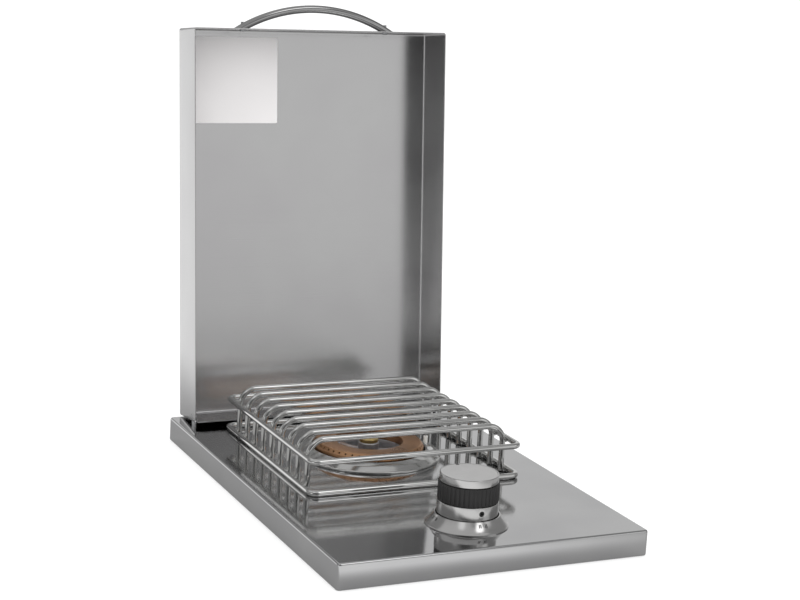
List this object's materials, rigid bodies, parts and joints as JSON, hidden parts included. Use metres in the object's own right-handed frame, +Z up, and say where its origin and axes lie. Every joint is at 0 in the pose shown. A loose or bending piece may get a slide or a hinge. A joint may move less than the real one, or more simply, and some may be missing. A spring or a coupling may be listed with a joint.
{
  "type": "built in side burner",
  "caption": "Drop-in gas side burner: steel deck with hinged lid and bowed handle, rod grate over a ring burner with drip pan, push-and-turn knob, valve and gas line in a vented box below.",
  "frame": {"origin": "on the counter's surface, in the middle of the deck's front return flange, which rests there", "axes": "+Z up, +Y to the back of the counter, +X to the right when standing in front of the burner"},
  "size_m": [0.34, 0.554, 0.5778],
  "materials": {
    "brushed_steel": "brushed stainless sheet",
    "polished_rod": "polished stainless rod and rim",
    "zinc_steel": "zinc plated steel",
    "cast_aluminium": "as cast",
    "bronze": "satin bronze coloured ring",
    "brass": "turned brass",
    "ceramic": "fired white ceramic",
    "black_plastic": "moulded black grip and switch housing"
  },
  "bodies": {
    "frame": {"deck": "brushed_steel", "burner_box_floor": "zinc_steel", "burner_box_left": "zinc_steel", "burner_box_right": "zinc_steel", "burner_box_front": "zinc_steel", "burner_box_rear": "zinc_steel", "hinge_ear_left": "zinc_steel", "hinge_ear_right": "zinc_steel", "grate_ring_lower": "polished_rod", "grate_ring_upper": "polished_rod", "grate_bar_1": "polished_rod", "grate_bar_2": "polished_rod", "grate_bar_3": "polished_rod", "grate_bar_4": "polished_rod", "grate_bar_5": "polished_rod", "grate_bar_6": "polished_rod", "grate_bar_7": "polished_rod", "grate_bar_8": "polished_rod", "grate_bar_9": "polished_rod", "drip_pan": "polished_rod", "burner_bowl": "cast_aluminium", "burner_spider": "cast_aluminium", "burner_hub": "cast_aluminium", "flame_ring": "bronze", "centre_cap": "brass", "igniter_strap": "zinc_steel", "igniter_ceramic": "ceramic", "igniter_electrode": "zinc_steel", "venturi_tube": "zinc_steel", "air_shutter": "zinc_steel", "venturi_bracket": "zinc_steel", "valve_body": "brass", "valve_bonnet": "brass", "stem_spring": "zinc_steel", "knob_bezel": "brushed_steel", "orifice": "brass", "piezo_igniter": "black_plastic", "gas_pipe": "zinc_steel", "gas_inlet": "brass", "inlet_nut": "brass", "bezel_screw_left": "zinc_steel", "bracket_screw_left": "zinc_steel", "bezel_screw_right": "zinc_steel", "bracket_screw_right": "zinc_steel"},
    "lid": {"lid": "brushed_steel", "lid_handle": "brushed_steel", "handle_screw_left": "zinc_steel", "handle_screw_right": "zinc_steel", "hinge_pin_left": "zinc_steel", "hinge_pin_right": "zinc_steel"},
    "push": {"stem_washer": "zinc_steel"},
    "knob": {"valve_stem": "brass", "knob_core": "zinc_steel", "knob_skirt": "brushed_steel", "knob_grip": "black_plastic", "knob_cap": "brushed_steel", "knob_set_screw": "black_plastic"}
  },
  "joints": [
    {"name": "lid_hinge", "type": "hinge", "parent": "frame", "child": "lid", "pos_m": [0, 0.4572, 0.0382], "axis": [1, 0, 0], "range_deg": [0, 95.79]},
    {"name": "knob_push", "type": "slide", "parent": "frame", "child": "push", "axis": [0, 0, -1], "range_m": [0, 0.0035], "stiffness_N_per_m": 2500, "deforming": ["stem_spring"]},
    {"name": "knob_turn", "type": "hinge", "parent": "push", "child": "knob", "pos_m": [0, 0.066, 0.027], "axis": [0, 0, 1], "range_deg": [0, 180]}
  ]
}
